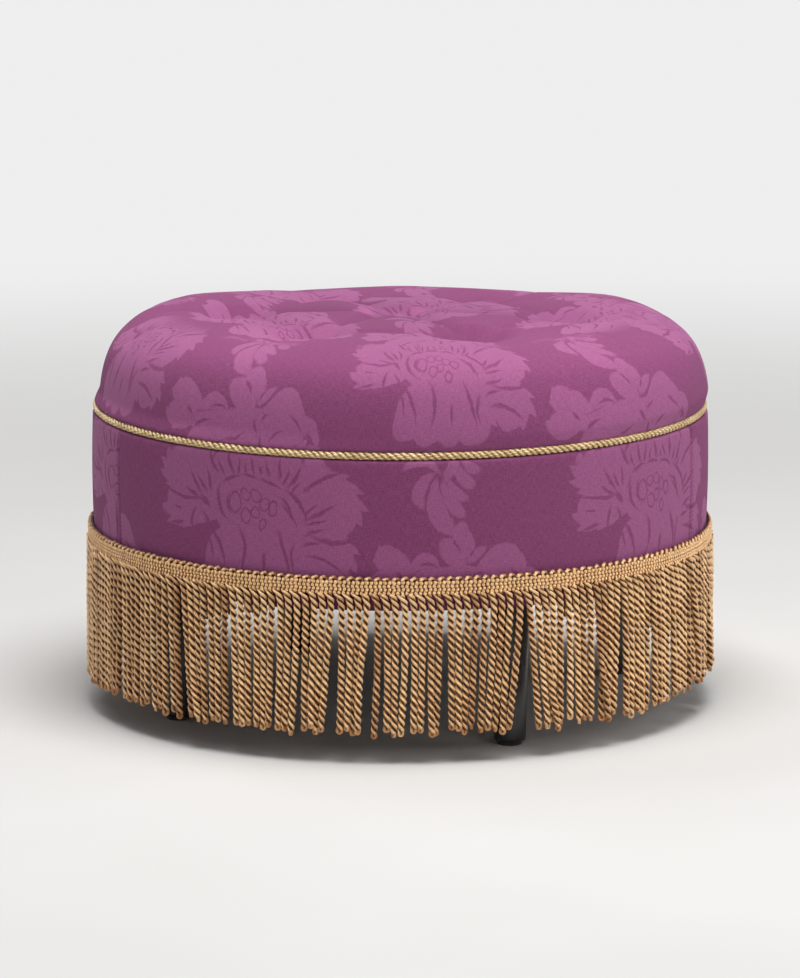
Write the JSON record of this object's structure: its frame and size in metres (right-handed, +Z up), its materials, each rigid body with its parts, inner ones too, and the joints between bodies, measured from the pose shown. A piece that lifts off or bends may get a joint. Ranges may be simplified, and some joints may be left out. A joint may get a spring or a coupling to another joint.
{
  "type": "tuffet",
  "caption": "Round tufted tuffet: crowned seat, fabric drum, twisted cord round the seam, hanging bullion fringe to near the floor, tapered black legs.",
  "frame": {"origin": "on the floor, at the middle of the tuffet's footprint", "axes": "+Z up; -Y towards the picture's viewer (the front); +X to the viewer's right"},
  "size_m": [0.6246, 0.6246, 0.3962],
  "materials": {
    "damask": "woven damask, matt, two tones of plum",
    "cord_yarn": "twisted viscose yarn, silky, old gold",
    "black_wood": "black stained beech, satin lacquer",
    "plywood": "raw birch plywood",
    "hardboard": "raw hardboard",
    "foam": "open-cell polyurethane foam",
    "wadding": "polyester wadding",
    "twine": "waxed linen twine",
    "zinc_steel": "zinc-plated steel",
    "felt": "pressed wool felt",
    "cambric": "black non-woven dust cloth"
  },
  "bodies": {
    "root": {"base_board": "plywood", "top_deck": "plywood", "frame_post_1": "plywood", "frame_post_2": "plywood", "frame_post_3": "plywood", "frame_post_4": "plywood", "frame_post_5": "plywood", "frame_post_6": "plywood", "side_wall": "hardboard", "side_padding": "wadding", "seat_wadding": "wadding", "seat_foam": "foam", "side_cover_front": "damask", "side_cover_back": "damask", "top_cover": "damask", "tuft_button_1": "damask", "tuft_button_2": "damask", "tuft_button_3": "damask", "tuft_button_4": "damask", "tuft_button_5": "damask", "tuft_button_6": "damask", "tuft_button_7": "damask", "seam_cord": "cord_yarn", "fringe_back_right": "cord_yarn", "fringe_back_left": "cord_yarn", "fringe_front_left": "cord_yarn", "fringe_front_right": "cord_yarn", "tuft_twine_1": "twine", "tuft_twine_2": "twine", "tuft_twine_3": "twine", "tuft_twine_4": "twine", "tuft_twine_5": "twine", "tuft_twine_6": "twine", "tuft_twine_7": "twine", "tuft_washer_1": "zinc_steel", "tuft_washer_2": "zinc_steel", "tuft_washer_3": "zinc_steel", "tuft_washer_4": "zinc_steel", "tuft_washer_5": "zinc_steel", "tuft_washer_6": "zinc_steel", "tuft_washer_7": "zinc_steel", "leg_bolt_front_right": "zinc_steel", "leg_bolt_back_right": "zinc_steel", "leg_bolt_back_left": "zinc_steel", "leg_bolt_front_left": "zinc_steel", "leg_nut_front_right": "zinc_steel", "leg_nut_back_right": "zinc_steel", "leg_nut_back_left": "zinc_steel", "leg_nut_front_left": "zinc_steel", "leg_front_right": "black_wood", "leg_back_right": "black_wood", "leg_back_left": "black_wood", "leg_front_left": "black_wood", "leg_glide_front_right": "felt", "leg_glide_back_right": "felt", "leg_glide_back_left": "felt", "leg_glide_front_left": "felt", "dust_cover": "cambric"}
  },
  "joints": []
}
